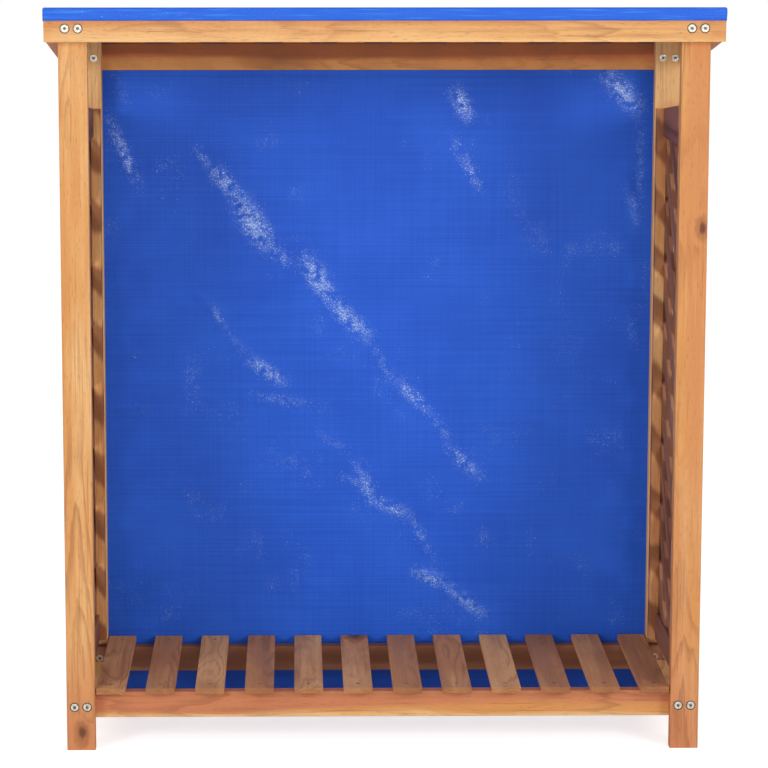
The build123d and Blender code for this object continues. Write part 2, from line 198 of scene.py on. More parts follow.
def calc(operation, *values):
    """The result of a Math node."""
    tree = next(value.tree for value in values if isinstance(value, Value))
    return Value(put(tree, "ShaderNodeMath", dict(enumerate(values)), operation=operation).outputs[0])


def vector_calc(operation, *values):
    """The result of a Vector Math node, a number for the operation LENGTH."""
    node = put(values[0].tree, "ShaderNodeVectorMath", dict(enumerate(values)), operation=operation)
    return Value(node.outputs["Value" if operation == "LENGTH" else "Vector"])


def by_node(operation, turned=False):
    """A method that sends a value, and perhaps another number, through a Math node."""
    def method(self, *other):
        return calc(operation, *((*other, self) if turned else (self, *other)))
    return method


class Value:
    """The output of a shader node, which takes plain arithmetic."""

    def __init__(self, socket):
        self.socket = socket
        self.tree = socket.id_data

    __add__ = by_node("ADD")
    __sub__ = by_node("SUBTRACT")
    __rsub__ = by_node("SUBTRACT", turned=True)
    __mul__ = by_node("MULTIPLY")
    __truediv__ = by_node("DIVIDE")
    __rtruediv__ = by_node("DIVIDE", turned=True)
    __pow__ = by_node("POWER")
    __mod__ = by_node("MODULO")
    __abs__ = by_node("ABSOLUTE")
    floor = by_node("FLOOR")
    fract = by_node("FRACT")
    sine = by_node("SINE")

    def ramp(self, low, high):
        """The value taken smoothly from 0 at low to 1 at high."""
        inputs = {"Value": self, "From Min": low, "From Max": high}
        node = put(self.tree, "ShaderNodeMapRange", inputs, interpolation_type="SMOOTHSTEP")
        return Value(node.outputs["Result"])

    def split(self):
        """The three parts of a vector or a colour."""
        return [Value(part) for part in put(self.tree, "ShaderNodeSeparateXYZ", {0: self}).outputs]


def blend(factor, first, second, mode="MIX"):
    """Two colours mixed by a factor."""
    tree = next(value.tree for value in (factor, first) if isinstance(value, Value))
    inputs = {0: factor, 6: first, 7: second}
    return Value(put(tree, "ShaderNodeMix", inputs, data_type="RGBA", blend_type=mode).outputs[2])


def noise(place, stretch, seed, detail=3.0, roughness=0.5):
    """Noise over a stretched place, from 0 to 1, that changes with the seed."""
    inputs = {
        "Vector": vector_calc("MULTIPLY", place, stretch), "W": seed, "Scale": 1.0, "Detail": detail,
        "Roughness": roughness,
    }
    return Value(put(place.tree, "ShaderNodeTexNoise", inputs, noise_dimensions="4D").outputs[0])


def even_noise(place, scale, detail, dimensions="3D"):
    """Noise that is equally fine in each direction, from 0 to 1."""
    inputs = {"Vector": place, "Scale": scale, "Detail": detail}
    return Value(put(place.tree, "ShaderNodeTexNoise", inputs, noise_dimensions=dimensions).outputs[0])


def new_group(name, inputs, outputs=("Color", "Roughness", "Height")):
    """An empty shader group with named inputs and outputs: (tree, its inputs by name)."""
    tree = bpy.data.node_groups.new(name, "ShaderNodeTree")
    for socket, default in inputs.items():
        kind = FLOAT if isinstance(default, float) else COLOUR if len(default) == 4 else VECTOR
        tree.interface.new_socket(socket, in_out="INPUT", socket_type=kind).default_value = default
    for socket in outputs:
        kind = COLOUR if socket == "Color" else FLOAT
        tree.interface.new_socket(socket, in_out="OUTPUT", socket_type=kind)
    entry = tree.nodes.new("NodeGroupInput")
    return tree, {socket: Value(entry.outputs[socket]) for socket in inputs}


def rgba(colour):
    """A colour with full alpha."""
    return (*colour, 1.0)


def shaded(colour, share):
    """A colour made darker."""
    return [share * value for value in colour]


# Distance between two crossings of the lattice along Y or Z, which also spaces the painted lattice shadow,
# and between planer marks
LATTICE_STEP = 102.6 * MM
PLANER_STEP = 11 * MM
# Size of an asked knot of size 1 in the measure of the chance knots
KNOT_REACH = 0.26


def board_grain(name):
    """Growth rings, streaks, fibres and knots of a sawn board, solid through the wood."""
    tree, ins = new_group(name, {
        "Place": ZERO, "Knot spot": ZERO, "Knot size": 0.0, "Light": WHITE, "Middle": WHITE,
        "Streak": WHITE, "Dark": WHITE, "Knot": WHITE, "Tone": 0.5, "Lean": 0.0, "Foot share": 0.0,
        "Streak share": 0.5, "Knot share": 0.10, "Ring step": 8 * MM, "Piece pitch": 10.0,
        "Planer marks": 0.0, "Blotch share": 0.0, "Half length": 10.0, "Seed": 0.0,
    })
    place, dark, knot_size = ins["Place"], ins["Dark"], ins["Knot size"]
    along, across, deep = place.split()
    seed = (across / ins["Piece pitch"] + 0.5).floor() * 3.17 + ins["Seed"]

    # Knots, oval along the grain: a few by chance, and one where it is asked for
    inputs = {"Vector": vector_calc("MULTIPLY", place, (6.0, 15.0, 15.0)), "W": seed, "Scale": 1.0}
    cell = put(tree, "ShaderNodeTexVoronoi", inputs, voronoi_dimensions="4D").outputs
    chance = Value(cell["Color"]).split()[0]
    by_chance = calc("GREATER_THAN", chance, ins["Knot share"]) * 2.0 + cell["Distance"]
    away = vector_calc("MULTIPLY", vector_calc("SUBTRACT", place, ins["Knot spot"]), (0.55, 1.0, 1.0))
    ragged = noise(place, (60, 120, 120), seed, 2.0) * 0.006 - 0.003
    asked = (vector_calc("LENGTH", away) + ragged) * (KNOT_REACH / knot_size)
    asked = asked + calc("LESS_THAN", knot_size, 0.0001)
    far = calc("MINIMUM", by_chance, asked)
    near = 1.0 - far.ramp(0.10, 0.75)
    heart = 1.0 - far.ramp(0.08, 0.27)

    # Growth rings about a heart that wanders beside the board
    ring_y = (noise(place, (2.3, 7, 7), seed, 2.0) - 0.5) * 0.075 + across
    ring_z = (noise(place, (1.7, 6, 6), seed + 7.3, 2.0) - 0.5) * 0.110 + deep
    ring_z = ring_z + ((seed * 5.1).sine() * 0.02 + 0.045)
    radius = (ring_y * ring_y + ring_z * ring_z) ** 0.5 + near * 0.012
    streaks = noise(place, (2.4, 70, 70), seed, 5.0, 0.62)
    bands = noise(place, (1.6, 24, 24), seed + 3.1)
    clouds = noise(place, (4.5, 14, 14), seed + 5.7, 2.0)
    fibres = noise(place, (34, 1500, 1500), seed, 2.0)
    pores = noise(place, (70, 800, 800), seed + 11.0, 1.0).ramp(0.60, 0.74)
    threads = noise(place, (6, 260, 260), seed + 2.2, 3.0, 0.6).ramp(0.54, 0.74)
    faded = noise(place, (2, 18, 18), seed + 8.8, 1.0).ramp(0.36, 0.68)
    saw = (radius / ins["Ring step"] + bands * 4.5 + streaks * 1.6).fract()
    late = saw.ramp(0.45, 0.92) * (1.0 - saw.ramp(0.92, 1.0))

    # Pale to middle tone, then rosy streaks, and a rosier, darker foot: painted shade of the light that
    # falls off near the floor, with rosier wood
    # Lean tilts the tone across the board: on the rails this is painted shade, a darker, rosier top
    slope = ins["Lean"] * across
    light = streaks * 1.1 + ins["Tone"] - 0.42 + slope + clouds
    rosy = (slope * 0.45 + ins["Tone"] * 0.30 + bands).ramp(0.53, 0.75)
    foot = (along * -1.0).ramp(0.34, 0.58)
    colour = blend(light.ramp(0.50, 1.15), ins["Light"], ins["Middle"])
    colour = blend(rosy * ins["Streak share"], colour, ins["Streak"])
    colour = blend(foot * ins["Foot share"], colour, ins["Streak"])

    # Dark ring lines, threads and pores, and painted shadow of the lattice slats: dark diagonal bands at
    # the lattice's step
    swell = ((clouds * 0.10 + across * 1.1 + along) * (2 * math.pi / LATTICE_STEP)).sine()
    # heartwood holds the painted lattice shadow
    heartwood = (streaks * 1.6 + swell).ramp(0.35, 1.25) * ins["Blotch share"]
    for share in (late * (faded * 0.42 + 0.02), threads * 0.42, pores * 0.35, heartwood):
        colour = blend(share, colour, dark)
    colour = blend(1.0, colour, fibres * 0.22 + 0.89, "MULTIPLY")
    colour = blend(near.ramp(0.2, 0.95) * 0.5, colour, dark)
    colour = blend(heart * 0.85, colour, ins["Knot"])

    # End grain that soaks up more oil, and faint cross marks that a planer leaves
    end = (abs(along) - ins["Half length"]).ramp(-1.2 * MM, -0.2 * MM)
    ripple = ((clouds * 0.05 + along) * (2 * math.pi / PLANER_STEP)).sine().ramp(0.6, 1.0)
    marks = ripple * bands.ramp(0.45, 0.7) * ins["Planer marks"]
    colour = blend(end * 0.58, colour, dark)
    colour = blend(marks * 0.16, colour, dark)

    rough = fibres * 0.20 + 0.56 - late * 0.06
    height = fibres * 0.45 + late * 0.30 - pores * 0.8 - marks * 0.4
    put(tree, "NodeGroupOutput", {"Color": colour, "Roughness": rough, "Height": height})
    return tree


# Painted light on creased tapes: a painted sheen, painted glint dashes, and painted sheen streaks on the
# lip
SHEEN_COLOUR = (0.26, 0.43, 0.90, 1.0)
GLINT_COLOUR = (0.52, 0.70, 0.98, 1.0)
SHEEN_STREAK_COLOUR = (0.07, 0.32, 0.88, 1.0)


def woven_tape(name):
    """Flat tapes woven over and under, with a tone of their own and a rounded relief."""
    inputs = {
        "Place": ZERO, "Base": WHITE, "Deep": WHITE, "Tape": 2.6 * MM, "Crumple": 0.0, "Streaks": 0.0,
    }
    tree, ins = new_group(name, inputs, ("Color", "Roughness", "Height", "Coat"))
    place, crumple, deep = ins["Place"], ins["Crumple"], ins["Deep"]
    axes = place.split()[:2]
    tapes = [axis / ins["Tape"] for axis in axes]
    order = [tape.floor() for tape in tapes]
    crown = [1.0 - abs((tape.fract() - 0.5) * 2.0) ** 3.0 for tape in tapes]
    odd = abs(order[0] + order[1]) % 2.0
    weave = odd * crown[0] + (1.0 - odd) * crown[1]

    # Each tape has a tone of its own, which drifts slowly along it
    tones = []
    for tape, axis in zip(order, reversed(axes)):
        spot = put(tree, "ShaderNodeCombineXYZ", {0: tape * 0.731, 1: axis * 3.0})
        tones.append(even_noise(Value(spot.outputs[0]), 1.0, 2.0, "2D"))
    columns, rows = tones
    tone = (rows * 0.62 + columns * 0.38) * 0.42 + even_noise(place, 6.0, 4.0) * 0.58
    colour = blend(tone.ramp(0.35, 0.65), deep, ins["Base"])
    # Painted shade where the tapes dip under each other
    colour = blend((1.0 - weave.ramp(0.0, 0.45)) * 0.30, colour, deep)

    # Where the sheet was creased, painted glints: short lit dashes with painted shade lines between them,
    # over a painted sheen, and painted sheen streaks on the lip where asked
    share = crumple * even_noise(place, 75.0, 2.0).ramp(0.24, 0.56)
    start = share * -0.17 + 0.655
    wide, high = (
        noise(place, stretch, seed, 2.0, 0.65).ramp(start, start + 0.08)
        for stretch, seed in (((210, 620, 1), 1.0), ((560, 300, 1), 2.0))
    )
    glint_strength = noise(place, (170, 170, 1), 3.0, 2.0).ramp(0.35, 0.65) * 0.55 + 0.45
    glint_dash = calc("MAXIMUM", wide, high) * glint_strength * share.ramp(0.0, 0.06)
    sheen_haze = noise(place, (60, 130, 1), 4.0, 2.0).ramp(0.30, 0.70) * 0.26 + 0.18
    sheen_streak = noise(place, (13, 380, 1), 5.0).ramp(0.50, 0.74)
    colour = blend(sheen_haze * share.ramp(0.12, 1.0), colour, SHEEN_COLOUR)
    colour = blend(share.ramp(0.15, 0.8) * (0.30 - glint_dash), colour, deep)
    colour = blend(glint_dash * 0.80, colour, GLINT_COLOUR)
    colour = blend(sheen_streak * ins["Streaks"], colour, SHEEN_STREAK_COLOUR)
    rough = tone * 0.10 + 0.48 - share * 0.16
    height = even_noise(place, 150.0, 2.0) * (crumple * 2.0 + 0.25) + weave * 0.30
    put(tree, "NodeGroupOutput", {"Color": colour, "Roughness": rough, "Height": height, "Coat": glint_dash})
    return tree


def zinc_plate(name):
    """Cloudy plated steel with fine scratches."""
    tree, ins = new_group(name, {"Place": ZERO, "Bright": WHITE, "Dull": WHITE})
    cloud = noise(ins["Place"], (260, 260, 260), 0.0, 4.0)
    scratch = noise(ins["Place"], (300, 2200, 4200), 4.0, 2.0)
    colour = blend(cloud.ramp(0.38, 0.68), ins["Bright"], ins["Dull"])
    put(tree, "NodeGroupOutput", {"Color": colour, "Roughness": scratch * 0.22 + 0.24, "Height": scratch})
    return tree


def new_material(name):
    """An empty material: (material, its tree, its shader)."""
    material = bpy.data.materials.new(name)
    material.use_nodes = True
    tree = material.node_tree
    shader = next(n for n in tree.nodes if n.type == "BSDF_PRINCIPLED")
    return material, tree, shader


def object_place(tree):
    """Each point's place in the object's own axes."""
    return Value(put(tree, "ShaderNodeTexCoord").outputs["Object"])


def finish_material(shader, build, inputs, depth, constants):
    """Feeds the shader from a group, which is built at its first use: the group's outputs."""
    tree, name = shader.id_data, build.__name__.replace("_", " ")
    group = bpy.data.node_groups.get(name) or build(name)
    outputs = put(tree, "ShaderNodeGroup", inputs, node_tree=group).outputs
    bump = put(tree, "ShaderNodeBump", {"Height": outputs["Height"], "Distance": depth})
    feed(shader, {"Base Color": outputs["Color"], "Roughness": outputs["Roughness"], "Normal": bump})
    feed(shader, constants)
    return outputs


# Boards

# The directions along, across and through a board, by how it lies
GRAIN_AXES = {
    "rail": Matrix(((1, 0, 0), (0, 0, 1), (0, -1, 0))),
    "post": Matrix(((0, 0, 1), (1, 0, 0), (0, 1, 0))),
    "slat": Matrix(((0, 1, 0), (-1, 0, 0), (0, 0, 1))),
    "side": Matrix(((0, 1, 0), (0, 0, 1), (1, 0, 0))),
}
SLANT = math.sqrt(0.5)
LATTICE_PITCH = LATTICE_STEP * SLANT
FIRST_CROSSING = 38 * MM


def dress(node, material):
    """Gives a CAD node a better material in each of its slots."""
    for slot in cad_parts[node].material_slots:
        slot.material = material


def corners(node):
    """The low and the high corner of a node's box."""
    return [Vector(corner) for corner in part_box(node)]


def node_centre(node):
    """The middle of a node's box."""
    low, high = corners(node)
    return (low + high) / 2


def dress_board(node, axes, palette, tone, seed, centre=None, shine=0.2, **looks):
    """Gives a board, or a node of like pieces, its own grain along the first of the axes.

    The looks are inputs of the board grain, such as knot_share for Knot share.
    """
    wood = settings("boards")
    centre = node_centre(node) if centre is None else centre
    material, tree, shader = new_material(f"wood {node}")
    place = {"Vector": object_place(tree), "Location": -(axes @ centre), "Rotation": axes.to_euler()}
    inputs = {
        "Place": put(tree, "ShaderNodeMapping", place), "Dark": rgba(wood.umber),
        "Knot": rgba(wood.knot), "Tone": tone, "Seed": seed, "Ring step": wood.ring_step,
    }
    inputs.update(zip(("Light", "Middle", "Streak"), map(rgba, palette)))
    inputs.update({look.replace("_", " ").capitalize(): value for look, value in looks.items()})
    finish_material(shader, board_grain, inputs, wood.relief, {"Specular IOR Level": shine})
    dress(node, material)


# How each long board lies, its tone, share of rosy streaks, planer marks and change of tone across; on the
# rails that change is painted shade, a darker, rosier top as under the roof and the shelf's slats
BOARD_LOOKS = {
    "top_front_rail": ("rail", 0.26, 0.25, 0.3, 12.0),
    "top_rear_rail": ("rail", 0.40, 0.75, 0.2, 34.0),
    "bottom_front_rail": ("rail", 0.64, 1.00, 0.1, 34.0),
    "bottom_rear_rail": ("rail", 0.50, 0.60, 0.1, 8.0),
    "front_post_left": ("post", 0.26, 0.45, 0.1, -5.0),
    "front_post_right": ("post", 0.36, 0.40, 0.1, 0.0),
    "rear_post_left": ("post", -0.02, 0.35, 0.1, 0.0),
    "rear_post_right": ("post", -0.02, 0.35, 0.1, 0.0),
    "roof_side_rail_left": ("side", 0.60, 0.80, 0.1, 0.0),
    "roof_side_rail_right": ("side", 0.60, 0.80, 0.1, 0.0),
    "bottom_side_rail_left": ("slat", 0.10, 0.30, 0.1, 0.0),
    "bottom_side_rail_right": ("slat", 0.10, 0.30, 0.1, 0.0),
}
# A knot in the front of each front post, and its size
KNOTS = {
    "front_post_left": ((-0.479, -0.1685, 0.028), 0.008),
    "front_post_right": ((0.496, -0.1685, 0.836), 0.007),
}
SLAT_TONES = (0.22, 0.36, -0.06, 0.42, 0.18, 0.26, 0.42, 0.32, -0.02, 0.46, 0.28, 0.38)
ROW_SEEDS = {"shelf": 80.0, "roof": 40.0}


class LOGSTORE_OT_dress_boards(bpy.types.Operator):
    """Gives each board and slat its own grain"""

    bl_idname = "log_store.dress_boards"
    bl_label = "Dress boards"

    def execute(self, context):
        wood = settings("boards")
        frame_palette = (wood.gold, wood.amber, wood.rose)
        slat_palette = (wood.slat_light, wood.slat_mid, wood.slat_grey)
        dark_palette = (wood.lattice_light, wood.lattice_mid, wood.lattice_dark)
        red_palette = (wood.amber, wood.rust, shaded(wood.rust, 0.42))
        palettes = {"top_rear_rail": red_palette, "bottom_rear_rail": dark_palette}
        for number, (node, (lie, tone, rosy, marks, lean)) in enumerate(BOARD_LOOKS.items()):
            axes, centre = GRAIN_AXES[lie], node_centre(node)
            spot, size = KNOTS.get(node, (centre, 0.0))
            # The rear rail gets more knots and a faint painted lattice shadow
            knots, shadow_share = (0.30, 0.12) if node == "top_rear_rail" else (0.03, 0.0)
            dress_board(
                node, axes, palettes.get(node, frame_palette), tone, 1.7 * number + 0.4,
                streak_share=rosy, knot_share=knots, planer_marks=marks, lean=lean,
                knot_spot=axes @ (Vector(spot) - centre), knot_size=size, blotch_share=shadow_share,
                # Posts get a darker, rosier foot: painted shade near the floor, with rosier wood
                foot_share=0.7 if "post" in node else 0.0,
            )
        for row, start in ROW_SEEDS.items():
            for number, tone in enumerate(SLAT_TONES):
                node = f"{row}_slat_{number + 1:02d}"
                low, high = corners(node)
                dress_board(
                    node, GRAIN_AXES["slat"], slat_palette, tone, 2.3 * number + start, shine=0.08,
                    streak_share=0.8, knot_share=0.05, ring_step=wood.slat_ring_step,
                    half_length=(high.y - low.y) / 2,
                )
        dress_board("dowels", GRAIN_AXES["slat"], frame_palette, 0.2, 5.0, centre=Vector(ZERO))
        for number, (side, way) in enumerate((("left", 1), ("right", -1))):
            for part in ("top_rail", "bottom_rail", "front_stile", "rear_stile"):
                # Stiles get a strong painted shadow of the lattice slats
                lie, palette, tone, shadow_share = (
                    ("post", frame_palette, 0.25, 0.85) if "stile" in part
                    else ("side", dark_palette, 0.5, 0.0)
                )
                dress_board(
                    f"lattice_{part}_{side}", GRAIN_AXES[lie], palette, tone,
                    120.0 + 3.1 * number + len(part), streak_share=0.9, knot_share=0.0,
                    blotch_share=shadow_share,
                )
            rails = (f"lattice_{rail}_rail_{side}" for rail in ("top", "bottom"))
            crossing = sum(map(node_centre, rails), Vector(ZERO)) / 2
            crossing.z += FIRST_CROSSING
            for layer, lean in (("inner", -way), ("outer", way)):
                axes = Matrix(((0, SLANT, lean * SLANT), (0, -lean * SLANT, SLANT), (1, 0, 0)))
                dress_board(
                    f"lattice_{layer}_slats_{side}", axes, dark_palette, 0.30,
                    150.0 + 7.7 * number + 3 * lean, centre=crossing, shine=0.1, streak_share=0.8,
                    knot_share=0.05, piece_pitch=LATTICE_PITCH, ring_step=wood.slat_ring_step,
                )
        return {"FINISHED"}


# Hardware


def metal_material(name, bright, dull):
    """Plated steel."""
    material, tree, shader = new_material(name)
    inputs = {"Place": object_place(tree), "Bright": rgba(bright), "Dull": rgba(dull)}
    finish_material(shader, zinc_plate, inputs, 0.05 * MM, {"Metallic": 1.0})
    return material


BRIGHT_HARDWARE = (
    "top_front_bolts", "top_rear_bolts", "bottom_front_bolts", "bottom_rear_bolts",
    "sleeve_nuts", "cover_tacks",
)
DULL_HARDWARE = ("shelf_screws", "roof_screws")


class LOGSTORE_OT_dress_hardware(bpy.types.Operator):
    """Gives bolts, nuts, screws and tacks their plated finish"""

    bl_idname = "log_store.dress_hardware"
    bl_label = "Dress hardware"

    def execute(self, context):
        look = settings("hardware")
        bright = metal_material("zinc bright", look.zinc, look.dull)
        dull = metal_material("zinc dull", look.dull, shaded(look.dull, 0.6))
        for node in BRIGHT_HARDWARE:
            dress(node, bright)
        for node in DULL_HARDWARE:
            dress(node, dull)
        return {"FINISHED"}


# Parts that stand on points


def parts_on_points(name, part, values, places, ways, material):
    """One plain mesh of like parts, each on its place with its Z turned to its way.

    The part comes from nodes of its own, which read the values as inputs of the tree.
    """
    tree = bpy.data.node_groups.new(name, "GeometryNodeTree")
    tree.interface.new_socket("Geometry", in_out="INPUT", socket_type=GEOMETRY)
    for socket, value in values.items():
        kind = WHOLE if isinstance(value, int) else FLOAT
        tree.interface.new_socket(socket, in_out="INPUT", socket_type=kind).default_value = value
    tree.interface.new_socket("Geometry", in_out="OUTPUT", socket_type=GEOMETRY)
    ins = tree.nodes.new("NodeGroupInput").outputs
    facing = put(tree, "GeometryNodeInputNamedAttribute", {"Name": "facing"}, data_type="FLOAT_VECTOR")
    turn = put(tree, "FunctionNodeAlignRotationToVector", {"Vector": facing}, axis="Z")
    inputs = {"Points": ins["Geometry"], "Instance": part(tree, ins), "Rotation": turn}
    real = put(tree, "GeometryNodeRealizeInstances", {0: put(tree, "GeometryNodeInstanceOnPoints", inputs)})
    put(tree, "NodeGroupOutput", {0: put(tree, "GeometryNodeSetMaterial", {0: real, "Material": material})})

    points = bpy.data.meshes.new(f"{name} points")
    points.from_pydata(places, [], [])
    facing = points.attributes.new("facing", "FLOAT_VECTOR", "POINT")
    facing.data.foreach_set("vector", np.array(ways, np.float32).ravel())
    holder = add_object("holder", points)
    modifier = holder.modifiers.new("grow", "NODES")
    modifier.node_group = tree
    for item in tree.interface.items_tree:
        if item.name in values:
            modifier[item.identifier] = values[item.name]
    bpy.context.view_layer.update()
    evaluated = holder.evaluated_get(bpy.context.evaluated_depsgraph_get())
    mesh = bpy.data.meshes.new_from_object(evaluated)
    holder.modifiers.remove(modifier)
    bpy.data.objects.remove(holder)
    mesh.name = name
    return add_object(name, mesh)


def pin(tree, ins):
    """The nodes of a small domed pin."""
    inputs = {"Segments": ins["Rounds"], "Rings": 6, "Radius": ins["Radius"]}
    ball = put(tree, "GeometryNodeMeshUVSphere", inputs)
    smooth = put(tree, "GeometryNodeSetShadeSmooth", {0: ball})
    return put(tree, "GeometryNodeTransform", {"Geometry": smooth, "Scale": (1.0, 1.0, 0.45)})


def ring(tree, ins):
    """The nodes of a thin flat ring."""
    circles, both = (put(tree, "GeometryNodeJoinGeometry") for _ in range(2))
    for radius in ("Inner", "Outer"):
        inputs = {"Resolution": 32, "Radius": ins[radius]}
        feed(circles, {0: put(tree, "GeometryNodeCurvePrimitiveCircle", inputs)})
    face = put(tree, "GeometryNodeFillCurve", {"Curve": circles})
    inputs = {"Mesh": face, "Offset Scale": ins["Wall"], "Individual": False}
    feed(both, {0: put(tree, "GeometryNodeExtrudeMesh", inputs)})
    feed(both, {0: put(tree, "GeometryNodeFlipFaces", {"Mesh": face})})
    return both


def six_sided(tree, ins):
    """The nodes of a six-sided rod, short for a dark disc that paints a drive's shade and long for a
    stitch.
    """
    inputs = {"Vertices": 6, "Radius": ins["Radius"], "Depth": ins["Depth"]}
    return put(tree, "GeometryNodeMeshCylinder", inputs)


PIN_MARGIN = 18 * MM


class LOGSTORE_OT_make_lattice_pins(bpy.types.Operator):
    """Puts a small pin through each crossing of the side lattices"""

    bl_idname = "log_store.make_lattice_pins"
    bl_label = "Make lattice pins"

    def execute(self, context):
        look = settings("hardware")
        places, ways = [], []
        half_step = LATTICE_STEP / 2
        for side, sign in (("left", -1), ("right", 1)):
            low, high = corners(f"lattice_inner_slats_{side}")
            outer = corners(f"lattice_outer_slats_{side}")
            faces = ((low if sign > 0 else high).x, -sign), (outer[sign > 0].x, sign)
            middle, reach = (low + high) / 2, (high - low) / 2
            rows, columns = int(reach.z / half_step) + 2, int(reach.y / half_step) + 2
            for row, column in product(range(-rows, rows + 1), range(-columns, columns + 1)):
                y, z = column * half_step, FIRST_CROSSING + row * half_step
                outside = abs(y) > reach.y - PIN_MARGIN or abs(z) > reach.z - PIN_MARGIN
                if (row + column) % 2 or outside:
                    continue
                for x, way in faces:
                    places.append((x, middle.y + y, middle.z + z))
                    ways.append((way, 0, 0))
        steel = metal_material("pin steel", look.dull, shaded(look.dull, 0.5))
        sizes = {"Radius": look.pin_radius, "Rounds": 10}
        pins = parts_on_points("lattice_pins", pin, sizes, places, ways, steel)
        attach(pins, BODY)
        return {"FINISHED"}


BOLT_PITCH = 20 * MM
SEAT_DEPTH = 3 * MM
# A bolt's own nut lies within this distance of its head
NUT_REACH = 100 * MM
BOLT_ROWS = (("top_front", -1), ("bottom_front", -1), ("top_rear", 1), ("bottom_rear", 1))


def find_bolts():
    """Each bolt as its x and z, the y of its head's and its nut's face, and the head's way."""
    points = np.array([point.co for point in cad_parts["sleeve_nuts"].data.vertices])
    found = []
    for row, way in BOLT_ROWS:
        low, high = corners(f"{row}_bolts")
        radius = (high.z - low.z) / 2
        z, head = low.z + radius, low.y if way < 0 else high.y
        for end in (low.x + radius, high.x - radius):
            for x in (end, end - math.copysign(BOLT_PITCH, end)):
                near = np.hypot(points[:, 0] - x, points[:, 2] - z) < BOLT_PITCH / 2
                near &= np.abs(points[:, 1] - head) < NUT_REACH
                found.append((x, z, head, -way * (-way * points[near, 1]).max(), way))
    return found


class LOGSTORE_OT_make_washers(bpy.types.Operator):
    """Lays a dark washer ring in the seat of each bolt, which also paints the seat's shade, and a dark disc
    on each head and nut that paints the shade of a drive
    """

    bl_idname = "log_store.make_washers"
    bl_label = "Make bolt washers"

    def execute(self, context):
        look = settings("hardware")
        # Very dark steel: the washers' edge, also standing in as painted shade in the seats and drives
        dark = metal_material("washer steel", shaded(look.dull, 0.4), shaded(look.dull, 0.2))
        bolts = find_bolts()
        ways = [(0, way, 0) for *_, way in bolts]
        places = [(x, head - way * SEAT_DEPTH, z) for x, z, head, _, way in bolts]
        sizes = {"Inner": 6.3 * MM, "Outer": 7.7 * MM, "Wall": look.washer}
        washers = parts_on_points("bolt_washers", ring, sizes, places, ways, dark)
        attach(washers, BODY)

        # Dark discs on each head and nut paint the shade of a drive recess
        places = [(x, head, z) for x, z, head, _, _ in bolts]
        places += [(x, nut, z) for x, z, _, nut, _ in bolts]
        sizes = {"Radius": 2.6 * MM, "Depth": 0.15 * MM}
        drive_shades = parts_on_points("drive_recesses", six_sided, sizes, places, ways * 2, dark)
        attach(drive_shades, BODY)
        return {"FINISHED"}


# Cover


def smooth_noise(x, z, scale, seed):
    """Smooth noise from -1 to 1 over two coordinates, the same each time."""
    rng = np.random.default_rng(seed)
    table = rng.uniform(-1, 1, (64, 64))
    u, v = x / scale + 20.0, z / scale + 20.0
    i, j = np.floor(u).astype(int), np.floor(v).astype(int)
    s, t = u - i, v - j
    s, t = s * s * (3 - 2 * s), t * t * (3 - 2 * t)
    a = table[i % 64, j % 64] * (1 - s) + table[(i + 1) % 64, j % 64] * s
    b = table[i % 64, (j + 1) % 64] * (1 - s) + table[(i + 1) % 64, (j + 1) % 64] * s
    return a * (1 - t) + b * t


# Creased strips of the back sheet, where the shader also paints glints: x and z of both ends, width (all in
# mm) and strength
CREASES = (
    (-307, 934, -275, 896, 14, 0.45), (-277, 900, -233, 849, 24, 0.8), (-233, 849, -185, 767, 34, 1.0),
    (-185, 767, -148, 738, 20, 0.6), (-122, 750, -80, 679, 30, 0.95), (-80, 679, -15, 611, 26, 0.85),
    (-15, 611, 39, 517, 14, 0.35), (33, 539, 84, 488, 20, 0.7), (84, 488, 135, 424, 14, 0.4),
    (121, 424, 175, 373, 20, 0.6), (-450, 985, -403, 874, 17, 0.7), (128, 1032, 152, 981, 24, 0.9),
    (128, 947, 169, 866, 17, 0.55), (380, 1060, 437, 995, 30, 0.9), (437, 995, 441, 832, 14, 0.35),
    (-280, 669, -253, 624, 12, 0.5), (-253, 624, -212, 573, 14, 0.3), (-216, 577, -158, 536, 20, 0.8),
    (-205, 515, -110, 498, 15, 0.4), (-100, 449, -46, 415, 14, 0.3), (-62, 373, -8, 356, 15, 0.4),
    (-32, 396, -5, 321, 20, 0.65), (-5, 332, 56, 308, 20, 0.7), (56, 308, 90, 245, 15, 0.45),
    (63, 211, 118, 186, 20, 0.8), (118, 186, 182, 131, 20, 0.7), (-440, 1060, -420, 1002, 14, 0.25),
    (420, 866, 436, 800, 14, 0.4), (424, 660, 432, 600, 14, 0.25),
)
# Distance between the ridges of a crease, and the count of small ridges between the creases
RIDGE_STEP = 12 * MM
SMALL_RIDGES = 150


def tent(x, z, centre, direction, half_length, half_width):
    """A sharp short ridge that fades at its ends, from 0 to 1."""
    dx, dz = x - centre[0], z - centre[1]
    s = (dx * direction[0] + dz * direction[1]) / half_length
    d = (-dx * direction[1] + dz * direction[0]) / half_width
    rise = np.clip(1 - np.abs(d), 0, 1)
    return rise * rise * (3 - 2 * rise) * np.clip(1 - s * s, 0, 1)


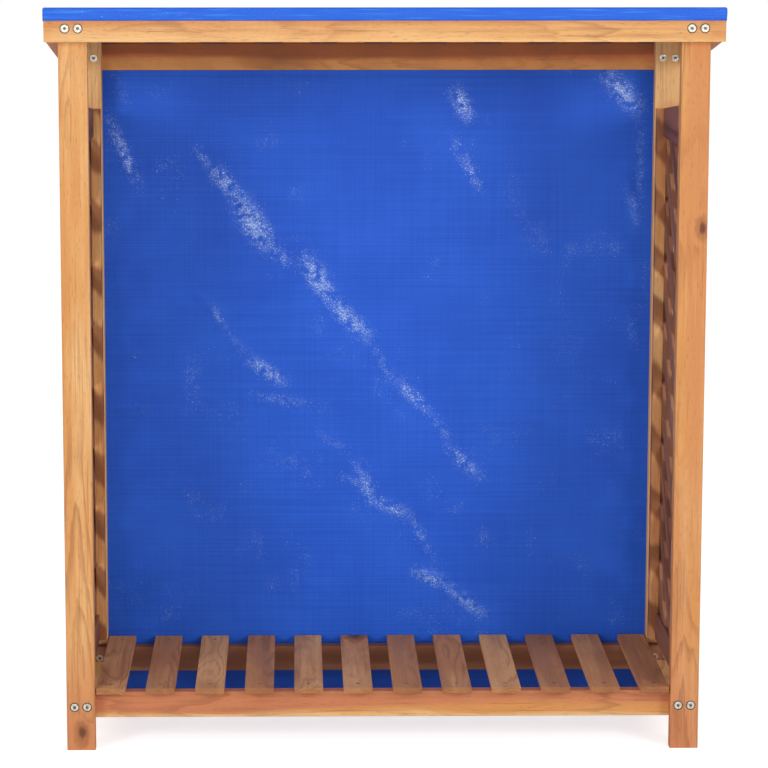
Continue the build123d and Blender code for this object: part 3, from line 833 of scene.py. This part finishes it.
def crease_relief(x, z):
    """Height towards the front, in shares of the crease height, and how crumpled each point is."""
    rng = np.random.default_rng(11)
    height, crumple = np.zeros_like(x), np.zeros_like(x)
    for x0, z0, x1, z1, width, strength in CREASES:
        start, end, width = np.array((x0, z0)) * MM, np.array((x1, z1)) * MM, width * MM
        run = np.linalg.norm(end - start)
        direction = (end - start) / run
        side = np.array((-direction[1], direction[0]))
        middle = (start + end) / 2
        mask = tent(x, z, middle, direction, run * 0.75, width * 1.15)
        crumple = np.maximum(crumple, strength ** 0.75 * mask)
        for _ in range(max(3, int(run / RIDGE_STEP))):
            place = start + (end - start) * rng.uniform(-0.05, 1.05)
            place = place + side * rng.normal(0, width * 0.30)
            turn = rng.normal(0, 0.30)
            way = direction * math.cos(turn) + side * math.sin(turn)
            lift = strength * rng.uniform(0.3, 0.9) * rng.choice((1, 1, -1))
            height += lift * tent(x, z, place, way, rng.uniform(0.015, 0.045), rng.uniform(0.006, 0.012))
    for _ in range(SMALL_RIDGES):
        place = rng.uniform((-0.5, 0.03), (0.5, 1.06))
        turn = rng.uniform(0, math.pi)
        direction = np.array([math.cos(turn), math.sin(turn)])
        lift = rng.uniform(0.04, 0.20) * rng.choice((-1, 1))
        height += lift * tent(x, z, place, direction, rng.uniform(0.02, 0.09), rng.uniform(0.008, 0.018))
    for share, scale, seed in ((0.35, 0.16, 3), (0.16, 0.055, 4), (0.06, 0.02, 5)):
        height += share * smooth_noise(x, z, scale, seed)
    # Scattered spots where the shader paints glints, and the bump grows
    glitter = smooth_noise(x, z, 0.045, 51) + 0.5 * smooth_noise(x, z, 0.02, 52) - 0.42
    crumple = np.maximum(crumple, 0.42 * np.clip(glitter, 0, 1))
    return height, np.clip(crumple, 0, 1)


def sheet_mesh(name, points, quads, uv, crumple):
    """A mesh with its own UV map in metres and a crumple value at each point."""
    mesh = bpy.data.meshes.new(name)
    mesh.from_pydata(points, [], quads)
    layer = mesh.uv_layers.new(name="cloth")
    index = np.zeros(len(mesh.loops), np.int32)
    mesh.loops.foreach_get("vertex_index", index)
    layer.data.foreach_set("uv", uv[index].astype(np.float32).ravel())
    value = mesh.attributes.new("crumple", "FLOAT", "POINT")
    value.data.foreach_set("value", crumple.astype(np.float32))
    mesh.shade_smooth()
    return mesh


def grid_quads(rows, columns):
    """The faces of a grid of points stored row by row."""
    point = np.arange(rows * columns).reshape(rows, columns)
    faces = np.stack([point[:-1, :-1], point[:-1, 1:], point[1:, 1:], point[1:, :-1]], -1)
    return faces.reshape(-1, 4)


def cover_material(name, base, deep, streaks=0.0):
    """The woven sheet, coated and a little glossy."""
    material, tree, shader = new_material(name)
    inputs = {
        "Place": put(tree, "ShaderNodeUVMap", uv_map="cloth"),
        "Base": rgba(base),
        "Deep": rgba(deep),
        "Tape": settings("cover").tape,
        "Crumple": put(tree, "ShaderNodeAttribute", attribute_name="crumple").outputs["Fac"],
        # streaks sets the share of painted sheen streaks
        "Streaks": streaks,
    }
    constants = {"Coat Roughness": 0.15, "Specular IOR Level": 0.25}
    outputs = finish_material(shader, woven_tape, inputs, 0.35 * MM, constants)
    feed(shader, {"Coat Weight": outputs["Coat"]})
    return material


def thread_material(colour):
    """One colour with fine mottling."""
    material, tree, shader = new_material("thread")
    mottle = noise(object_place(tree), (400, 400, 400), 2.0)
    mixed = blend(mottle, rgba(shaded(colour, 0.7)), rgba(colour))
    feed(shader, {"Base Color": mixed, "Roughness": 0.6})
    return material


def add_sheet(mesh, materials):
    """A sheet of cloth in the scene, with its thickness."""
    sheet = add_object(mesh.name, mesh)
    for material in materials:
        mesh.materials.append(material)
    modifier = sheet.modifiers.new("wall", "SOLIDIFY")
    modifier.thickness = settings("cover").wall
    modifier.offset = 0.0
    return sheet


# The back sheet slants from the rear rail to the posts over its upper part, and lies close at both
SLANT_HEIGHT = 322 * MM
RAIL_OVERLAP = 10 * MM
POST_GAP = 4 * MM
POST_FADE = 30 * MM
HEM_WIDTH = 18 * MM
HEM_POINTS = 5
STITCH_EDGE = 3 * MM
STITCH_STEP = 7 * MM
# How far the hem and its stitches lie behind the sheet, in thicknesses of the sheet
HEM_LAYER = 1.5
STITCH_LAYER = 2.1
WEAVE_SHIFT = 0.31


def hung_sheet(x, z):
    """The back sheet's y over its width and height, and how crumpled it is there."""
    look = settings("cover")
    low, high = corners("rain_cover_back")
    rail_bottom = corners("top_rear_rail")[0].z
    post_inner = corners("rear_post_right")[0].x
    at_post, at_rail = low.y + look.wall, high.y - look.wall
    rise = np.clip((z - rail_bottom + SLANT_HEIGHT) / SLANT_HEIGHT, 0, 1)
    base = at_post + (at_rail - at_post) * rise ** 1.7
    height, crumple = crease_relief(x, z)
    free = np.clip((post_inner - POST_GAP - np.abs(x)) / POST_FADE, 0, 1)
    lift = height * look.crease * (0.25 + 0.75 * free)
    forward = np.clip(lift, -4 * look.crease, 1.5 * look.crease) * free
    backward = np.minimum(lift, 0) * (1 - free)
    y = base - forward - backward
    return np.where(z > rail_bottom - RAIL_OVERLAP, np.maximum(y, at_rail), y), crumple


class LOGSTORE_OT_make_cover_back(bpy.types.Operator):
    """Hangs the creased sheet down the back, with a stitched hem at its sides and foot"""

    bl_idname = "log_store.make_cover_back"
    bl_label = "Make back cover"

    def execute(self, context):
        look = settings("cover")
        low, high = corners("rain_cover_back")
        columns = int((high.x - low.x) / look.step) + 1
        rows = int((high.z - low.z) / look.step) + 1

        def patch(x_ends, z_ends, across, up, behind=0.0):
            x, z = np.meshgrid(np.linspace(*x_ends, across), np.linspace(*z_ends, up))
            y, crumple = hung_sheet(x, z)
            points = np.stack([x, y + behind, z], -1).reshape(-1, 3)
            return points, grid_quads(up, across), np.stack([x, z], -1).reshape(-1, 2), crumple.ravel()

        woven = cover_material("woven back", look.blue, look.deep)
        whole = patch((low.x, high.x), (low.z, high.z), columns, rows)
        sheet = add_sheet(sheet_mesh("cover_back", *whole), [woven])

        # The hem is three strips behind the sheet, with a weave that doesn't line up with it
        strips = [
            ((low.x, low.x + HEM_WIDTH), (low.z + HEM_WIDTH, high.z), HEM_POINTS, rows),
            ((high.x - HEM_WIDTH, high.x), (low.z + HEM_WIDTH, high.z), HEM_POINTS, rows),
            ((low.x, high.x), (low.z, low.z + HEM_WIDTH), columns, HEM_POINTS),
        ]
        made, count = [], 0
        for strip in strips:
            points, quads, uv, crumple = patch(*strip, behind=HEM_LAYER * look.wall)
            made.append((points, quads + count, uv + WEAVE_SHIFT, crumple))
            count += len(points)
        hem = add_sheet(sheet_mesh("cover_hem", *map(np.concatenate, zip(*made))), [woven])

        line = HEM_WIDTH - STITCH_EDGE
        foot = np.arange(low.x + line, high.x - line, STITCH_STEP)
        side = np.arange(low.z + line, high.z - line, STITCH_STEP)
        x = np.concatenate([foot, np.full_like(side, low.x + line), np.full_like(side, high.x - line)])
        z = np.concatenate([np.full_like(foot, low.z + line), side, side])
        places = np.stack([x, hung_sheet(x, z)[0] + STITCH_LAYER * look.wall, z], -1).tolist()
        ways = [(1, 0, 0)] * len(foot) + [(0, 0, 1)] * (2 * len(side))
        sizes = {"Radius": 0.45 * MM, "Depth": 4.5 * MM}
        thread = thread_material(look.lip)
        stitches = parts_on_points("cover_stitches", six_sided, sizes, places, ways, thread)

        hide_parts("rain_cover_back")
        for piece in (sheet, hem, stitches):
            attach(piece, BODY)
        return {"FINISHED"}


LIP = 20 * MM
LIP_POINTS = 5
BEND = 3 * MM
BEND_STEPS = 4
FAN_STEPS = 5
# The sheet sags between the slats, apart from a strip along its front and rear edges
FLAT_EDGE = 12 * MM
SAG_FADE = 30 * MM


class LOGSTORE_OT_make_cover_top(bpy.types.Operator):
    """Lays the sheet over the roof, with a lip down its front and sides"""

    bl_idname = "log_store.make_cover_top"
    bl_label = "Make roof cover"

    def execute(self, context):
        look = settings("cover")
        low, high = corners("rain_cover_top")
        slat_low, slat_high = corners("roof_slat_01")
        fall = (high.z - low.z - LIP) / (high.y - low.y)
        half_x, front, back = high.x - look.wall, low.y + look.wall, high.y
        columns = int((2 * half_x - 2 * BEND) / look.step) + 1
        rows = int((back - front - BEND) / look.step) + 1
        x, y = np.meshgrid(
            np.linspace(BEND - half_x, half_x - BEND, columns), np.linspace(front + BEND, back, rows)
        )
        slat_step = (corners("roof_slat_12")[0].x - slat_low.x) / 11
        slat_half = (slat_high.x - slat_low.x) / 2
        from_slat = np.abs((x - slat_low.x - slat_half + slat_step / 2) % slat_step - slat_step / 2)
        span = np.clip((from_slat - slat_half) / (slat_step / 2 - slat_half), 0, 1)
        inside = np.clip((y - front - FLAT_EDGE) / SAG_FADE, 0, 1)
        inside *= np.clip((back - FLAT_EDGE - y) / SAG_FADE, 0, 1)
        sag = look.sag * np.sin(span * math.pi / 2) ** 2 - 0.5 * MM * smooth_noise(x, y, 0.05, 21)
        z = high.z - (y - low.y) * fall - look.wall - sag * inside
        top = np.stack([x, y, z], -1).reshape(-1, 3)
        faces = grid_quads(rows, columns).tolist()

        # The edge of the top, walked from the rear left corner round the front to the rear right
        point = np.arange(len(top)).reshape(rows, columns)
        fan = np.linspace(0, math.pi / 2, FAN_STEPS + 1)[1:-1]
        edge = np.concatenate([
            point[::-1, 0], np.full(len(fan), 0), point[0], np.full(len(fan), columns - 1), point[:, -1]
        ])
        angle = np.concatenate([
            np.full(rows, math.pi), math.pi + fan, np.full(columns, 1.5 * math.pi),
            1.5 * math.pi + fan, np.full(rows, 2 * math.pi),
        ])
        way = np.stack([np.cos(angle), np.sin(angle)], -1)
        base = top[edge]
        steps = np.linalg.norm(np.diff(base[:, :2] + BEND * way, axis=0), axis=1)
        walked = np.concatenate([[0.0], np.cumsum(steps)])
        turns = np.linspace(0, math.pi / 2, BEND_STEPS + 1)[1:]
        drops = [(BEND * math.sin(turn), BEND * (1 - math.cos(turn))) for turn in turns]
        drops += [(BEND, drop) for drop in np.linspace(BEND, LIP, LIP_POINTS)[1:]]
        points, uv = [top], [top[:, :2]]
        upper = edge.tolist()
        for number, (out, drop) in enumerate(drops):
            wave = smooth_noise(walked, np.full_like(walked, drop), 0.045, 31)
            wave += 0.5 * smooth_noise(walked, np.full_like(walked, drop * 3), 0.016, 32)
            swell = 0.9 * MM * wave * min(1.0, drop / LIP * 1.6)
            sideways = base[:, :2] + way * (out + swell)[:, None]
            points.append(np.column_stack([sideways, base[:, 2] - drop]))
            uv.append(np.column_stack([walked, np.full_like(walked, 1.0 - drop)]))
            start = len(top) + number * len(edge)
            lower = list(range(start, start + len(edge)))
            for face in zip(lower, lower[1:], upper[1:], upper):
                faces.append(list(dict.fromkeys(face)))
            upper = lower
        points, uv = np.concatenate(points), np.concatenate(uv)
        # The lip's crumple sets where the shader paints glints, and its bump
        puckers = 0.26 * np.clip(smooth_noise(points[:, 0], points[:, 1] + points[:, 2], 0.05, 41), 0, 1)
        crumple = np.where(np.arange(len(points)) < len(top), 0.0, puckers)
        mesh = sheet_mesh("cover_top", points, faces, uv, crumple)
        shell = bmesh.new()
        shell.from_mesh(mesh)
        bmesh.ops.recalc_face_normals(shell, faces=shell.faces)
        if sum(face.normal.z for face in shell.faces) < 0:
            bmesh.ops.reverse_faces(shell, faces=shell.faces)
        shell.to_mesh(mesh)
        shell.free()
        sheet = add_sheet(mesh, [
            cover_material("woven roof", look.blue, look.deep),
            # The lip gets painted sheen streaks
            cover_material("woven lip", look.lip, look.blue, streaks=0.65),
        ])
        for face in mesh.polygons[(rows - 1) * (columns - 1):]:
            face.material_index = 1
        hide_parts("rain_cover_top")
        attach(sheet, BODY)
        return {"FINISHED"}


# Stage


def ray_is_seen(tree):
    """1 for a ray that shows the background itself: straight, mirrored or passed through."""
    rays = put(tree, "ShaderNodeLightPath").outputs
    shown = calc("MAXIMUM", Value(rays["Is Camera Ray"]), rays["Is Glossy Ray"])
    return calc("MAXIMUM", shown, rays["Is Transmission Ray"])


FLOOR_REACH = 30.0
# Each softbox by its place, its width and height, and the setting of its power
SOFTBOXES = {
    "softbox left": ((-2.8, -3.1, 1.75), (1.2, 1.2), "key_power"),
    "softbox right": ((2.7, -3.1, 1.85), (1.2, 1.2), "key_power"),
    "softbox front": ((0.0, -4.9, 1.15), (2.4, 1.2), "fill_power"),
}


class LOGSTORE_OT_make_stage(bpy.types.Operator):
    """Sets the white floor, the even light, three softboxes and the camera"""

    bl_idname = "log_store.make_stage"
    bl_label = "Make stage"

    def execute(self, context):
        look = settings("stage")
        scene = context.scene
        scene.view_settings.view_transform = "Standard"

        mesh = bpy.data.meshes.new("floor")
        ends = ((-1, -1), (1, -1), (1, 1), (-1, 1))
        mesh.from_pydata([(x * FLOOR_REACH, y * FLOOR_REACH, 0) for x, y in ends], [], [(0, 1, 2, 3)])
        floor = add_object("floor", mesh)
        material, tree, shader = new_material("white floor")
        feed(shader, {"Base Color": rgba([0.86] * 3), "Roughness": 0.9, "Specular IOR Level": 0.0})
        glow = put(tree, "ShaderNodeEmission", {"Strength": look.glow})
        both = put(tree, "ShaderNodeAddShader", {0: shader, 1: glow})
        pick = put(tree, "ShaderNodeMixShader", {0: ray_is_seen(tree), 1: shader, 2: both})
        output = next(n for n in tree.nodes if n.type == "OUTPUT_MATERIAL")
        feed(output, {"Surface": pick})
        mesh.materials.append(material)

        world = bpy.data.worlds.new("even light")
        world.use_nodes = True
        scene.world = world
        tree = world.node_tree
        background = next(n for n in tree.nodes if n.type == "BACKGROUND")
        strength = ray_is_seen(tree) * (1.0 - look.sky) + look.sky
        feed(background, {"Color": WHITE, "Strength": strength})

        middle = Vector((CAD_LOW + CAD_HIGH) / 2)
        for name, (place, size, power) in SOFTBOXES.items():
            data = bpy.data.lights.new(name, "AREA")
            data.shape, data.energy = "RECTANGLE", getattr(look, power)
            data.size, data.size_y = size
            softbox = add_object(name, data)
            softbox.location = place
            softbox.rotation_euler = (middle - Vector(place)).to_track_quat("-Z", "Y").to_euler()

        data = bpy.data.cameras.new("camera")
        data.lens, data.sensor_width = look.lens, 36.0
        data.shift_x, data.shift_y = look.shift
        camera = add_object("camera", data)
        camera.location = look.eye
        camera.rotation_euler = (math.pi / 2 - look.pitch, 0, -look.yaw)
        scene.camera = camera
        return {"FINISHED"}


class LOGSTORE_PT_panel(bpy.types.Panel):
    """Lists the steps that dress the log store"""

    bl_idname = "LOGSTORE_PT_panel"
    bl_label = "Log store"
    bl_space_type = "VIEW_3D"
    bl_region_type = "UI"
    bl_category = "Log store"

    def draw(self, context):
        for step in STEPS:
            self.layout.operator(step.bl_idname)


STEPS = (
    LOGSTORE_OT_dress_boards, LOGSTORE_OT_dress_hardware, LOGSTORE_OT_make_lattice_pins,
    LOGSTORE_OT_make_washers, LOGSTORE_OT_make_cover_back, LOGSTORE_OT_make_cover_top,
    LOGSTORE_OT_make_stage,
)
GROUPS = {
    "boards": BoardSettings, "cover": CoverSettings, "hardware": HardwareSettings,
    "stage": StageSettings,
}


def register():
    """Registers the settings, steps and panel."""
    for group in GROUPS.values():
        bpy.utils.register_class(group)
    for name, group in GROUPS.items():
        setattr(bpy.types.Scene, f"log_store_{name}", PointerProperty(type=group))
    for step in (*STEPS, LOGSTORE_PT_panel):
        bpy.utils.register_class(step)


def unregister():
    """Takes away what register added."""
    for step in (LOGSTORE_PT_panel, *reversed(STEPS)):
        bpy.utils.unregister_class(step)
    for name in GROUPS:
        delattr(bpy.types.Scene, f"log_store_{name}")
    for group in GROUPS.values():
        bpy.utils.unregister_class(group)


def main():
    """Dresses the store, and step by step."""
    register()
    for step in STEPS:
        group, name = step.bl_idname.split(".")
        getattr(getattr(bpy.ops, group), name)()


if __name__ == "__main__":
    main()
